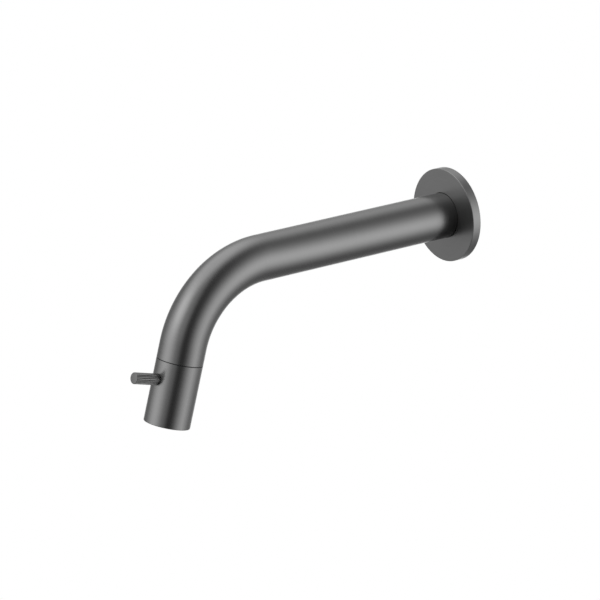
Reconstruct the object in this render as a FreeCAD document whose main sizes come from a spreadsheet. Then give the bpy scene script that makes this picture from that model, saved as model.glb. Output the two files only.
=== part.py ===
import FreeCAD, Part
import math
import os
from types import SimpleNamespace

import Sketcher

# A wall-mounted tap for cold water only. A straight round arm comes out of a flat wall rosette,
# bends down near its end and carries a turning sleeve of the same diameter. A fluted pin lever
# on the sleeve turns a quarter-turn ceramic cartridge, and an aerator closes the outlet.
# Frame: +Z up, the wall is the plane Y = 0, the tap reaches out along -Y, and the origin is the
# centre of the rosette's wall face. Lengths are in millimetres and angles in degrees.

SIZES = {
    # Arm: one bent tube from the wall to the seam above the handle sleeve.
    "tube_diameter": 24.3,
    "arm_wall": 1.65,
    "arm_wall_gap": 1,
    "arm_straight": 127.6,
    "bend_radius": 50,
    "bend_angle": 75,
    "seam_after_bend": 8.5,
    "seam_gap": 0.4,
    "seam_chamfer": 0.15,
    # Clearances: brazed and pressed joints, screwed threads, running shafts, seal rings.
    "tight_gap": 0.01,
    "thread_gap": 0.03,
    "running_gap": 0.05,
    "seal_gap": 0.03,
    # Wall rosette: a turned plate that slides on the arm and hides the wall connection.
    "rosette_diameter": 50.3,
    "rosette_thickness": 5,
    "rosette_web": 2,
    "rosette_rim": 4.15,
    "rosette_bore_gap": 0.15,
    "rosette_hub_wall": 1.72,
    "rosette_hub_setback": 0.6,
    "rosette_front_chamfer": 0.15,
    "rosette_back_chamfer": 0.1,
    "grip_ring_section": 1.75,
    "grip_groove_width": 2.4,
    "grip_groove_lip": 1.2,
    "gasket_width": 2.4,
    "gasket_thickness": 1,
    "gasket_gap": 0.1,
    # Inlet nipple: G1/2 thread behind the wall face, plain spigot with two seals in front.
    "inlet_thread_diameter": 20.955,
    "inlet_thread_length": 10,
    "inlet_thread_chamfer": 1.2,
    "inlet_relief_length": 0.8,
    "inlet_relief_depth": 1.2,
    "inlet_collar_setback": 0.3,
    "inlet_collar_thickness": 0.8,
    "nipple_bore": 9,
    "nipple_key_flats": 10,
    "nipple_key_depth": 8,
    "socket_wall": 1.96,
    "spigot_length": 23,
    "small_ring_section": 1.4,
    "small_groove_width": 2.2,
    "spigot_land": 1.2,
    # Inlet strainer: a punched disc in the mouth of the nipple.
    "strainer_diameter": 12.8,
    "strainer_thickness": 0.6,
    "strainer_hole": 0.9,
    "strainer_pitch": 1.3,
    # Grub screw from below: it holds the arm's socket on the spigot.
    "screw_diameter": 5,
    "screw_length": 4,
    "screw_point_diameter": 3.2,
    "screw_point_length": 1.1,
    "screw_from_wall": 12,
    "screw_recess": 0.5,
    "screw_key_flats": 2.5,
    "screw_key_depth": 1.8,
    "spigot_groove_width": 3.6,
    "socket_overhang": 2,
    # Outlet bush, brazed into the arm's lower end, and the cartridge screwed into it.
    "bush_length": 8,
    "bush_lip": 0.8,
    "bush_step": 0.7,
    "housing_ring_section": 1.8,
    "housing_flange_gap": 0.2,
    "housing_flange_thickness": 4.2,
    "housing_neck_wall": 2.05,
    "housing_barrel_step": 0.6,
    "housing_barrel_wall": 1.35,
    "housing_barrel_length": 9.8,
    "ear_slot_width": 2.2,
    "ear_width": 2,
    "ear_setback": 0.2,
    # Stack inside the cartridge, from the inlet side to the rotor.
    "retainer_thickness": 1.4,
    "retainer_width": 2,
    "disc_seal_thickness": 1.4,
    "disc_seal_width": 2.8,
    "disc_thickness": 2.5,
    "window_inner": 1.6,
    "window_rim": 2,
    "window_angle": 76,
    "thrust_washer_thickness": 0.8,
    # Rotor: the driven head, the sealed shaft and its water bore.
    "rotor_wall": 2.4,
    "rotor_mouth_margin": 0.2,
    "rotor_mouth_depth": 1.2,
    "rotor_head_thickness": 2.4,
    "rotor_chamfer": 0.4,
    "rotor_groove_width": 2,
    "rotor_land_below_seals": 3.2,
    "rotor_land_between_seals": 1.4,
    "rotor_land_below_lever": 1.2,
    "rotor_land_at_end": 1.4,
    "lug_width": 2,
    "lug_thickness": 0.6,
    "lug_rim": 0.3,
    "lug_length": 1.2,
    "lug_gap": 0.1,
    "circlip_thickness": 0.8,
    "circlip_width": 2,
    "circlip_seat_depth": 0.6,
    "circlip_angle": 310,
    "circlip_end_play": 0.1,
    # Handle: the turning sleeve, its lever pin and its stop pin.
    "handle_length": 33.3,
    "handle_travel": 90,
    "outlet_round": 0.3,
    "handle_recess_room": 0.7,
    "handle_recess_gap": 0.15,
    "handle_hub_overlap": 0.4,
    "handle_passage_step": 1.85,
    "handle_outlet_wall": 2.87,
    "glide_ring_width": 1.2,
    "glide_ring_thickness": 0.35,
    "glide_ring_inset": 0.3,
    "lever_from_seam": 10.2,
    "lever_length": 14.7,
    "lever_diameter": 6,
    "lever_chamfer": 0.2,
    "lever_seat_depth": 0.8,
    "lever_shank_diameter": 4,
    "lever_shank_entry": 1.6,
    "flute_count": 20,
    "flute_radius": 0.3,
    "flute_depth": 0.25,
    "stop_pin_diameter": 1.5,
    "stop_pin_depth": 3,
    "stop_pin_end_gap": 0.3,
    "stop_pitch_inset": 1.9,
    "stop_groove_depth": 2,
    "stop_gap": 0.1,
    # Aerator: a screwed insert of five pieces, set back from the rim.
    "aerator_washer_thickness": 1.2,
    "aerator_recess": 0.8,
    "aerator_seat_depth": 11.8,
    "aerator_wall": 1.05,
    "aerator_lip": 0.5,
    "aerator_lip_thickness": 0.8,
    "aerator_key_width": 1.6,
    "aerator_key_depth": 1,
    "core_thickness": 4.5,
    "core_jet_diameter": 0.9,
    "core_jet_inset": 2.55,
    "core_jet_count": 12,
    "core_rim": 1.45,
    "core_dish_depth": 2.6,
    "screen_thickness": 0.4,
    "screen_hole": 0.9,
    "screen_pitch": 1.3,
    "grid_thickness": 3,
    "grid_hole": 1.3,
    "grid_pitch": 1.7,
}

document = FreeCAD.newDocument("wall_tap")
sheet = document.addObject("Spreadsheet::Sheet", "sizes")
for row, (alias, number) in enumerate(SIZES.items(), start=1):
    sheet.set(f"A{row}", alias)
    sheet.set(f"B{row}", str(number))
    sheet.setAlias(f"B{row}", alias)
document.recompute()


class Formula:
    """A size worked out from the sheet: its number, and the text that keeps it bound."""

    def __init__(self, number, text):
        self.number = number
        self.text = text

    def __add__(self, other):
        other = formula(other)
        return Formula(self.number + other.number, f"({self.text} + {other.text})")

    def __sub__(self, other):
        other = formula(other)
        return Formula(self.number - other.number, f"({self.text} - {other.text})")

    def __mul__(self, other):
        other = formula(other)
        return Formula(self.number * other.number, f"({self.text} * {other.text})")

    def __truediv__(self, other):
        other = formula(other)
        return Formula(self.number / other.number, f"({self.text} / {other.text})")

    def __radd__(self, other):
        return formula(other) + self

    def __rsub__(self, other):
        return formula(other) - self

    def __rmul__(self, other):
        return formula(other) * self

    def __neg__(self):
        return 0 - self


def formula(value):
    """A plain number as a formula; a formula stays as it is."""
    return value if isinstance(value, Formula) else Formula(value, str(value))


def sine(angle):
    """Sine of an angle in degrees."""
    return Formula(math.sin(math.radians(angle.number)), f"sin({angle.text})")


def cosine(angle):
    """Cosine of an angle in degrees."""
    return Formula(math.cos(math.radians(angle.number)), f"cos({angle.text})")


size = SimpleNamespace(**{name: Formula(value, f"sizes.{name}") for name, value in SIZES.items()})

# Radii and places that several pieces share. Distances "out" run from the wall along the arm,
# and distances "down" run from the seam along the outlet's axis.
tube_radius = size.tube_diameter / 2
arm_inside = tube_radius - size.arm_wall
seam_half = size.seam_gap / 2
seam_out = (
    size.arm_straight
    + size.bend_radius * sine(size.bend_angle)
    + size.seam_after_bend * cosine(size.bend_angle)
)
seam_up = (
    size.bend_radius * cosine(size.bend_angle)
    - size.bend_radius
    - size.seam_after_bend * sine(size.bend_angle)
)
lever_down = size.lever_from_seam


def at_wall(out=0):
    """Place on the arm's axis, turned so that local Z runs out from the wall."""
    return formula(90), -formula(out), formula(0)


def at_outlet(down=0):
    """Place on the outlet's axis, with local Z down the outlet and local Y to the lever."""
    across = seam_out + formula(down) * cosine(size.bend_angle)
    height = seam_up - formula(down) * sine(size.bend_angle)
    return 90 + size.bend_angle, -across, height


def put(item, place):
    """Turns an object about X and moves it in the plane X = 0, bound to the sheet."""
    turn, along, height = place
    item.Placement = FreeCAD.Placement(
        FreeCAD.Vector(0, along.number, height.number),
        FreeCAD.Rotation(FreeCAD.Vector(1, 0, 0), turn.number),
    )
    item.setExpression("Placement.Rotation.Angle", turn.text)
    item.setExpression("Placement.Base.y", along.text)
    item.setExpression("Placement.Base.z", height.text)


def new_body(name, place):
    """An empty body with its own label and place."""
    body = document.addObject("PartDesign::Body", name)
    body.Label = name
    put(body, place)
    return body


def origin_item(body, role):
    """One of the body's own origin planes or axes."""
    return next(item for item in body.Origin.OriginFeatures if item.Role == role)


def new_sketch(body, name, role, lift=0, turn=0):
    """A sketch on an origin plane, lifted along its normal and turned about its own Y."""
    sketch = body.newObject("Sketcher::SketchObject", f"{body.Label}_{name}")
    sketch.AttachmentSupport = [(origin_item(body, role), "")]
    sketch.MapMode = "FlatFace"
    lift = formula(lift)
    turn = formula(turn)
    sketch.AttachmentOffset = FreeCAD.Placement(
        FreeCAD.Vector(0, 0, lift.number),
        FreeCAD.Rotation(FreeCAD.Vector(0, 1, 0), turn.number),
    )
    sketch.setExpression("AttachmentOffset.Base.z", lift.text)
    if turn.number:
        sketch.setExpression("AttachmentOffset.Rotation.Angle", turn.text)
    return sketch


def tie(sketch, kind, geometry, point, value):
    """One dimension of a sketch, bound to its formula."""
    value = formula(value)
    if point:
        constraint = Sketcher.Constraint(kind, geometry, point, value.number)
    else:
        constraint = Sketcher.Constraint(kind, geometry, value.number)
    index = sketch.addConstraint(constraint)
    sketch.setExpression(f"Constraints[{index}]", value.text)


def draw_outline(sketch, corners):
    """A closed outline of straight edges through the corners."""
    first = sketch.GeometryCount
    places = [FreeCAD.Vector(formula(x).number, formula(y).number, 0) for x, y in corners]
    count = len(places)
    for index, corner in enumerate(places):
        sketch.addGeometry(Part.LineSegment(corner, places[(index + 1) % count]), False)
    for index in range(count):
        follower = first + (index + 1) % count
        sketch.addConstraint(Sketcher.Constraint("Coincident", first + index, 2, follower, 1))
    for index, (x, y) in enumerate(corners):
        tie(sketch, "DistanceX", first + index, 1, x)
        tie(sketch, "DistanceY", first + index, 1, y)


def draw_circle(sketch, x, y, radius):
    """A circle at x, y."""
    centre = FreeCAD.Vector(formula(x).number, formula(y).number, 0)
    circle = Part.Circle(centre, FreeCAD.Vector(0, 0, 1), radius.number)
    index = sketch.addGeometry(circle, False)
    tie(sketch, "DistanceX", index, 3, x)
    tie(sketch, "DistanceY", index, 3, y)
    tie(sketch, "Radius", index, 0, radius)


def draw_rectangle(sketch, x_low, x_high, y_low, y_high):
    """An upright rectangle between two values of x and two of y."""
    corners = [(x_low, y_low), (x_high, y_low), (x_high, y_high), (x_low, y_high)]
    draw_outline(sketch, corners)


def draw_hexagon(sketch, across_flats):
    """A hexagon about the sketch's origin, with two corners on its X axis."""
    reach = across_flats / 2 / cosine(formula(30))
    corners = []
    for step in range(6):
        angle = formula(60 * step)
        corners.append((reach * cosine(angle), reach * sine(angle)))
    draw_outline(sketch, corners)


def check_cut(body, cut, name):
    """Recomputes the document and stops if the cut took nothing away."""
    document.recompute()
    if cut.Shape.Volume >= cut.BaseFeature.Shape.Volume:
        raise RuntimeError(f"{body.Label}: {name} cuts nothing")


def pocket(body, sketch, depth, name, backwards=False):
    """A straight cut from the sketch, against its normal, or along it when backwards."""
    depth = formula(depth)
    cut = body.newObject("PartDesign::Pocket", f"{body.Label}_{name}")
    cut.Profile = sketch
    cut.Reversed = backwards
    cut.Length = depth.number
    cut.setExpression("Length", depth.text)
    check_cut(body, cut, name)
    return cut


def sector_groove(body, sketch, angle, name):
    """A cut turned about local Z, half of its angle to each side of the sketch."""
    angle = formula(angle)
    cut = body.newObject("PartDesign::Groove", f"{body.Label}_{name}")
    cut.Profile = sketch
    cut.ReferenceAxis = (sketch, ["V_Axis"])
    cut.Midplane = True
    cut.Angle = angle.number
    cut.setExpression("Angle", angle.text)
    check_cut(body, cut, name)
    return cut


def pad(body, sketch, height, name, backwards=False):
    """Straight material from the sketch, along its normal, or against it when backwards."""
    height = formula(height)
    block = body.newObject("PartDesign::Pad", f"{body.Label}_{name}")
    block.Profile = sketch
    block.Reversed = backwards
    block.Length = height.number
    block.setExpression("Length", height.text)
    document.recompute()
    return block


def repeated(body, feature, count, name):
    """Copies of a feature, evenly spaced about local Z."""
    count = formula(count)
    pattern = body.newObject("PartDesign::PolarPattern", f"{body.Label}_{name}")
    pattern.Originals = [feature]
    pattern.Axis = (origin_item(body, "Z_Axis"), [""])
    pattern.Angle = 360
    pattern.Occurrences = count.number
    pattern.setExpression("Occurrences", count.text)
    body.Tip = pattern
    return pattern


def turned(name, place, corners, angle=360):
    """A piece turned about local Z from corners of radius and distance along local Z."""
    body = new_body(name, place)
    sketch = new_sketch(body, "section", "XZ_Plane")
    draw_outline(sketch, corners)
    turn = body.newObject("PartDesign::Revolution", f"{name}_turned")
    turn.Profile = sketch
    turn.ReferenceAxis = (sketch, ["V_Axis"])
    turn.Angle = formula(angle).number
    turn.setExpression("Angle", formula(angle).text)
    return body


def turned_ring(name, place, inner, outer, start, end, angle=360):
    """A plain ring of rectangular section."""
    corners = [(inner, start), (outer, start), (outer, end), (inner, end)]
    return turned(name, place, corners, angle)


def seal_ring(name, place, inner, outer):
    """A round-section ring that fills the space between two radii, less the seal gap."""
    ring = document.addObject("Part::Torus", name)
    ring.Label = name
    inner = inner + size.seal_gap / 2
    outer = outer - size.seal_gap
    middle = (inner + outer) / 2
    section = (outer - inner) / 2
    ring.Radius1 = middle.number
    ring.Radius2 = section.number
    ring.setExpression("Radius1", middle.text)
    ring.setExpression("Radius2", section.text)
    put(ring, place)
    return ring


def drilled_rings(body, face, depth, hole, pitch, rings, backwards=False):
    """A centre hole and rings of six, twelve and more holes around it, in a face."""
    sketch = new_sketch(body, "centre_hole", "XY_Plane", face)
    draw_circle(sketch, 0, 0, hole / 2)
    pocket(body, sketch, depth, "centre_hole_cut", backwards)
    for ring in range(1, rings + 1):
        sketch = new_sketch(body, f"ring_{ring}", "XY_Plane", face)
        draw_circle(sketch, ring * pitch, 0, hole / 2)
        cut = pocket(body, sketch, depth, f"ring_{ring}_cut", backwards)
        repeated(body, cut, 6 * ring, f"ring_{ring}_holes")


MATCH_TOLERANCE = 1e-6


def round_edges(body, radius, height):
    """Names of the body's circular edges of one radius at one height on local Z."""
    document.recompute()
    names = []
    shape = body.Tip.Shape
    for index, edge in enumerate(shape.Edges, start=1):
        curve = edge.Curve
        if not isinstance(curve, Part.Circle):
            continue
        same_radius = math.isclose(curve.Radius, radius.number, abs_tol=MATCH_TOLERANCE)
        same_height = math.isclose(curve.Center.z, height.number, abs_tol=MATCH_TOLERANCE)
        if same_radius and same_height:
            names.append(f"Edge{index}")
    return names


def rounded(body, radius, height, rounding, name):
    """Rounds an outer edge of a turned piece."""
    edges = round_edges(body, radius, height)
    base = body.Tip
    fillet = body.newObject("PartDesign::Fillet", f"{body.Label}_{name}")
    fillet.Base = (base, edges)
    fillet.Radius = rounding.number
    fillet.setExpression("Radius", rounding.text)
    return fillet


# Wall rosette. A steel disc with a deep recess behind its web, a hub that holds the grip ring
# close to the tube, and a step at the back of its rim for the wall gasket.
rosette_radius = size.rosette_diameter / 2
rosette_bore = tube_radius + size.rosette_bore_gap
rim_inside = rosette_radius - size.rosette_rim
gasket_seat = rim_inside + size.gasket_width + size.gasket_gap
groove_front = size.rosette_thickness - size.grip_groove_lip
groove_back = groove_front - size.grip_groove_width
groove_floor = tube_radius + size.grip_ring_section + size.seal_gap
rosette_hub = groove_floor + size.rosette_hub_wall
recess_front = size.rosette_thickness - size.rosette_web
turned("wall_rosette", at_wall(), [
    (rosette_bore, size.rosette_hub_setback),
    (rosette_hub, size.rosette_hub_setback),
    (rosette_hub, recess_front),
    (rim_inside, recess_front),
    (rim_inside, size.gasket_thickness),
    (gasket_seat, size.gasket_thickness),
    (gasket_seat, 0),
    (rosette_radius - size.rosette_back_chamfer, 0),
    (rosette_radius, size.rosette_back_chamfer),
    (rosette_radius, size.rosette_thickness - size.rosette_front_chamfer),
    (rosette_radius - size.rosette_front_chamfer, size.rosette_thickness),
    (rosette_bore, size.rosette_thickness),
    (rosette_bore, groove_front),
    (groove_floor, groove_front),
    (groove_floor, groove_back),
    (rosette_bore, groove_back),
])

# Grip ring. A rubber ring in the hub's groove that holds the rosette where it is pushed.
seal_ring("rosette_grip_ring", at_wall((groove_front + groove_back) / 2), tube_radius, groove_floor)

# Wall gasket. A flat rubber ring in the step of the rim, flush with the wall face.
turned_ring(
    "wall_gasket",
    at_wall(),
    rim_inside + size.gasket_gap,
    gasket_seat - size.gasket_gap,
    0,
    size.gasket_thickness,
)

# Inlet nipple. A brass piece with a pipe thread for the wall fitting, a relief where the thread
# ends, a collar where the arm's socket stops, a spigot with two seal grooves, a groove for the
# grub screw, and a hexagon inside its front end to turn it by. The strainer lies in a step of its
# rear mouth.
thread_radius = size.inlet_thread_diameter / 2
socket_outside = arm_inside - size.tight_gap
socket_bore = socket_outside - size.socket_wall
spigot_radius = socket_bore - size.thread_gap
spigot_end = size.arm_wall_gap + size.spigot_length
small_groove_floor = socket_bore - size.small_ring_section
front_groove_end = spigot_end - size.spigot_land
front_groove_start = front_groove_end - size.small_groove_width
rear_groove_end = front_groove_start - size.spigot_land
rear_groove_start = rear_groove_end - size.small_groove_width
screw_groove_floor = tube_radius - size.screw_recess - size.screw_length - size.running_gap
screw_groove_start = size.screw_from_wall - size.spigot_groove_width / 2
screw_groove_end = size.screw_from_wall + size.spigot_groove_width / 2
strainer_seat = size.strainer_diameter / 2 + size.running_gap
nipple = turned("inlet_nipple", at_wall(), [
    (size.nipple_bore / 2, size.strainer_thickness - size.inlet_thread_length),
    (strainer_seat, size.strainer_thickness - size.inlet_thread_length),
    (strainer_seat, -size.inlet_thread_length),
    (thread_radius - size.inlet_thread_chamfer, -size.inlet_thread_length),
    (thread_radius, size.inlet_thread_chamfer - size.inlet_thread_length),
    (thread_radius, -size.inlet_relief_length),
    (thread_radius - size.inlet_relief_depth, -size.inlet_relief_length),
    (thread_radius - size.inlet_relief_depth, size.arm_wall_gap - size.inlet_collar_thickness),
    (thread_radius - size.inlet_collar_setback, size.arm_wall_gap - size.inlet_collar_thickness),
    (thread_radius - size.inlet_collar_setback, size.arm_wall_gap),
    (spigot_radius, size.arm_wall_gap),
    (spigot_radius, screw_groove_start),
    (screw_groove_floor, screw_groove_start),
    (screw_groove_floor, screw_groove_end),
    (spigot_radius, screw_groove_end),
    (spigot_radius, rear_groove_start),
    (small_groove_floor, rear_groove_start),
    (small_groove_floor, rear_groove_end),
    (spigot_radius, rear_groove_end),
    (spigot_radius, front_groove_start),
    (small_groove_floor, front_groove_start),
    (small_groove_floor, front_groove_end),
    (spigot_radius, front_groove_end),
    (spigot_radius, spigot_end),
    (size.nipple_bore / 2, spigot_end),
])
nipple_key = new_sketch(nipple, "key", "XY_Plane", spigot_end)
draw_hexagon(nipple_key, size.nipple_key_flats)
pocket(nipple, nipple_key, size.nipple_key_depth, "key_socket")

# Two rubber rings on the spigot seal the water inside the arm's socket.
for ring_name, ring_start, ring_end in (
    ("nipple_oring_rear", rear_groove_start, rear_groove_end),
    ("nipple_oring_front", front_groove_start, front_groove_end),
):
    seal_ring(ring_name, at_wall((ring_start + ring_end) / 2), small_groove_floor, socket_bore)

# Inlet strainer. A punched steel disc in the nipple's rear mouth.
strainer = turned("inlet_strainer", at_wall(), [
    (0, -size.inlet_thread_length),
    (size.strainer_diameter / 2, -size.inlet_thread_length),
    (size.strainer_diameter / 2, size.strainer_thickness - size.inlet_thread_length),
    (0, size.strainer_thickness - size.inlet_thread_length),
])
drilled_rings(
    strainer,
    size.strainer_thickness - size.inlet_thread_length,
    size.strainer_thickness,
    size.strainer_hole,
    size.strainer_pitch,
    3,
)

# Arm socket. A brass bush brazed inside the arm's wall end, tapped for the grub screw below.
socket = turned_ring(
    "inlet_socket",
    at_wall(),
    socket_bore,
    socket_outside,
    size.arm_wall_gap,
    spigot_end + size.socket_overhang,
)
screw_radius = size.screw_diameter / 2
socket_hole = new_sketch(socket, "screw_hole", "XZ_Plane")
draw_circle(socket_hole, 0, size.screw_from_wall, screw_radius + size.thread_gap)
pocket(socket, socket_hole, tube_radius, "screw_hole_cut", backwards=True)

# Grub screw. It goes in from below, and its point stands in the spigot's groove.
screw_outer = tube_radius - size.screw_recess
screw_inner = screw_outer - size.screw_length
screw_shoulder = screw_inner + size.screw_point_length
grub_screw = turned("arm_grub_screw", (formula(180), -size.screw_from_wall, formula(0)), [
    (0, screw_inner),
    (size.screw_point_diameter / 2, screw_inner),
    (size.screw_point_diameter / 2, screw_shoulder),
    (screw_radius, screw_shoulder),
    (screw_radius, screw_outer),
    (0, screw_outer),
])
screw_key = new_sketch(grub_screw, "key", "XY_Plane", screw_outer)
draw_hexagon(screw_key, size.screw_key_flats)
pocket(grub_screw, screw_key, size.screw_key_depth, "key_socket")

# Spout arm. One steel tube, swept along a straight run, the bend and a short straight end.
arm = document.addObject("PartDesign::Body", "spout_arm")
arm.Label = "spout_arm"
arm_path = new_sketch(arm, "path", "YZ_Plane")
path_start = FreeCAD.Vector(-size.arm_wall_gap.number, 0, 0)
bend_start = FreeCAD.Vector(-size.arm_straight.number, 0, 0)
bend_centre = FreeCAD.Vector(-size.arm_straight.number, -size.bend_radius.number, 0)
bend_from = math.radians(90)
bend_to = math.radians(90 + size.bend_angle.number)
bend_end = bend_centre + FreeCAD.Vector(math.cos(bend_to), math.sin(bend_to), 0) * size.bend_radius.number
_, arm_end_y, arm_end_z = at_outlet(-seam_half)
path_end = FreeCAD.Vector(arm_end_y.number, arm_end_z.number, 0)
bend_circle = Part.Circle(bend_centre, FreeCAD.Vector(0, 0, 1), size.bend_radius.number)
arm_path.addGeometry(Part.LineSegment(path_start, bend_start), False)
arm_path.addGeometry(Part.ArcOfCircle(bend_circle, bend_from, bend_to), False)
arm_path.addGeometry(Part.LineSegment(bend_end, path_end), False)
arm_path.addConstraint(Sketcher.Constraint("Tangent", 0, 2, 1, 1))
arm_path.addConstraint(Sketcher.Constraint("Tangent", 1, 2, 2, 1))
tie(arm_path, "DistanceX", 0, 1, -size.arm_wall_gap)
tie(arm_path, "DistanceY", 0, 1, 0)
tie(arm_path, "DistanceX", 0, 2, -size.arm_straight)
tie(arm_path, "DistanceY", 0, 2, 0)
tie(arm_path, "Radius", 1, 0, size.bend_radius)
tie(arm_path, "DistanceX", 2, 2, arm_end_y)
tie(arm_path, "DistanceY", 2, 2, arm_end_z)
arm_section = new_sketch(arm, "section", "XZ_Plane", size.arm_wall_gap)
draw_circle(arm_section, 0, 0, tube_radius)
draw_circle(arm_section, 0, 0, arm_inside)
arm_tube = arm.newObject("PartDesign::AdditivePipe", "spout_arm_tube")
arm_tube.Profile = arm_section
arm_tube.Spine = arm_path
document.recompute()
arm_hole = new_sketch(arm, "screw_hole", "XY_Plane")
draw_circle(arm_hole, 0, -size.screw_from_wall, screw_radius + size.running_gap)
pocket(arm, arm_hole, size.tube_diameter, "screw_hole_cut")

# Outlet bush. Brass, brazed inside the arm's lower end: a thread for the cartridge, and a step
# at its mouth for the cartridge's seal.
bush_end = -seam_half
bush_start = bush_end - size.bush_length
seat_radius = arm_inside - size.bush_lip
cartridge_radius = seat_radius - size.bush_step
seat_start = bush_end - size.housing_ring_section
turned("outlet_bush", at_outlet(), [
    (cartridge_radius + size.thread_gap, bush_start),
    (arm_inside - size.tight_gap, bush_start),
    (arm_inside - size.tight_gap, bush_end),
    (seat_radius, bush_end),
    (seat_radius, seat_start),
    (cartridge_radius + size.thread_gap, seat_start),
])

# Cartridge housing. Brass, screwed into the outlet bush up to its flange. Its chamber holds the
# ceramic discs, its bore carries the rotor, and a curved groove in its lower face gives the
# handle its quarter turn. The stack in the chamber sets the place of the chamber's shoulder.
neck_radius = seat_radius - size.housing_ring_section
flange_radius = arm_inside - size.housing_flange_gap
flange_end = bush_end + size.housing_flange_thickness
barrel_radius = cartridge_radius - size.housing_barrel_step
barrel_start = bush_start - size.housing_barrel_length
chamber_radius = barrel_radius - size.housing_barrel_wall
shaft_bore = neck_radius - size.housing_neck_wall
shaft_radius = shaft_bore - size.running_gap
retainer_end = barrel_start + size.retainer_thickness
disc_seal_end = retainer_end + size.disc_seal_thickness
fixed_disc_end = disc_seal_end + size.disc_thickness
moving_disc_end = fixed_disc_end + size.disc_thickness
head_end = moving_disc_end + size.rotor_head_thickness
shoulder = head_end + size.thrust_washer_thickness
housing = turned("cartridge_housing", at_outlet(), [
    (shaft_bore, shoulder),
    (chamber_radius, shoulder),
    (chamber_radius, barrel_start),
    (barrel_radius, barrel_start),
    (barrel_radius, bush_start),
    (cartridge_radius, bush_start),
    (cartridge_radius, seat_start),
    (neck_radius, seat_start),
    (neck_radius, bush_end),
    (flange_radius, bush_end),
    (flange_radius, flange_end),
    (shaft_bore, flange_end),
])
ear_slots = new_sketch(housing, "ear_slots", "XY_Plane", barrel_start)
slot_half = size.ear_slot_width / 2
draw_rectangle(ear_slots, -cartridge_radius, cartridge_radius, -slot_half, slot_half)
pocket(housing, ear_slots, fixed_disc_end - barrel_start, "ear_slots_cut", backwards=True)
stop_pitch = flange_radius - size.stop_pitch_inset
stop_room = size.stop_pin_diameter / 2 + size.stop_gap
stop_groove = new_sketch(housing, "stop_groove", "XZ_Plane", 0, size.handle_travel / 2 - 90)
draw_rectangle(
    stop_groove,
    stop_pitch - stop_room,
    stop_pitch + stop_room,
    flange_end - size.stop_groove_depth,
    flange_end,
)
degrees_per_radian = formula(math.degrees(1))
stop_sweep = size.handle_travel + 2 * degrees_per_radian * (stop_room / stop_pitch)
sector_groove(housing, stop_groove, stop_sweep, "stop_groove_cut")

# Housing seal. A rubber ring under the flange, in the outlet bush's step.
seal_ring("housing_oring", at_outlet((seat_start + bush_end) / 2), neck_radius, seat_radius)

# Retaining ring and disc seal. The ring is pressed into the chamber's mouth, and the rubber seal
# holds the ceramic discs together.
disc_radius = chamber_radius - size.running_gap
retainer_radius = chamber_radius - size.tight_gap
turned_ring(
    "disc_retaining_ring",
    at_outlet(),
    retainer_radius - size.retainer_width,
    retainer_radius,
    barrel_start,
    retainer_end,
)
turned_ring(
    "disc_seal",
    at_outlet(),
    disc_radius - size.disc_seal_width,
    disc_radius,
    retainer_end,
    disc_seal_end,
)
window_outer = disc_radius - size.window_rim


def ceramic_disc(name, start, end, window_plane):
    """A ceramic disc with two opposite windows, centred on the plane that is given."""
    disc = turned(name, at_outlet(), [
        (0, start),
        (disc_radius, start),
        (disc_radius, end),
        (0, end),
    ])
    window = new_sketch(disc, "window", window_plane)
    draw_rectangle(window, size.window_inner, window_outer, start, end)
    window_cut = sector_groove(disc, window, size.window_angle, "window_cut")
    repeated(disc, window_cut, 2, "windows")
    return disc


# Fixed ceramic disc. Two ears stand in the housing's slots, so it can't turn.
lug_outer = disc_radius - size.lug_rim
lug_inner = lug_outer - size.lug_thickness
ear_reach = barrel_radius - size.ear_setback
fixed_disc = ceramic_disc("fixed_ceramic_disc", disc_seal_end, fixed_disc_end, "XZ_Plane")
ear_outline = new_sketch(fixed_disc, "ear", "XY_Plane", disc_seal_end)
draw_rectangle(ear_outline, lug_inner, ear_reach, -size.ear_width / 2, size.ear_width / 2)
ear = pad(fixed_disc, ear_outline, size.disc_thickness, "ear_block")
repeated(fixed_disc, ear, 2, "ears")

# Moving ceramic disc. Its windows lie across the fixed ones when the tap is closed, and two
# notches in its rim take the rotor's lugs.
moving_disc = ceramic_disc("moving_ceramic_disc", fixed_disc_end, moving_disc_end, "YZ_Plane")
notch_half = size.lug_width / 2 + size.lug_gap
notch_outline = new_sketch(moving_disc, "notch", "XY_Plane", moving_disc_end)
draw_rectangle(notch_outline, lug_inner - size.lug_gap, cartridge_radius, -notch_half, notch_half)
notch_depth = size.lug_length + size.lug_gap
notch = pocket(moving_disc, notch_outline, notch_depth, "notch_cut")
repeated(moving_disc, notch, 2, "notches")

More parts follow.
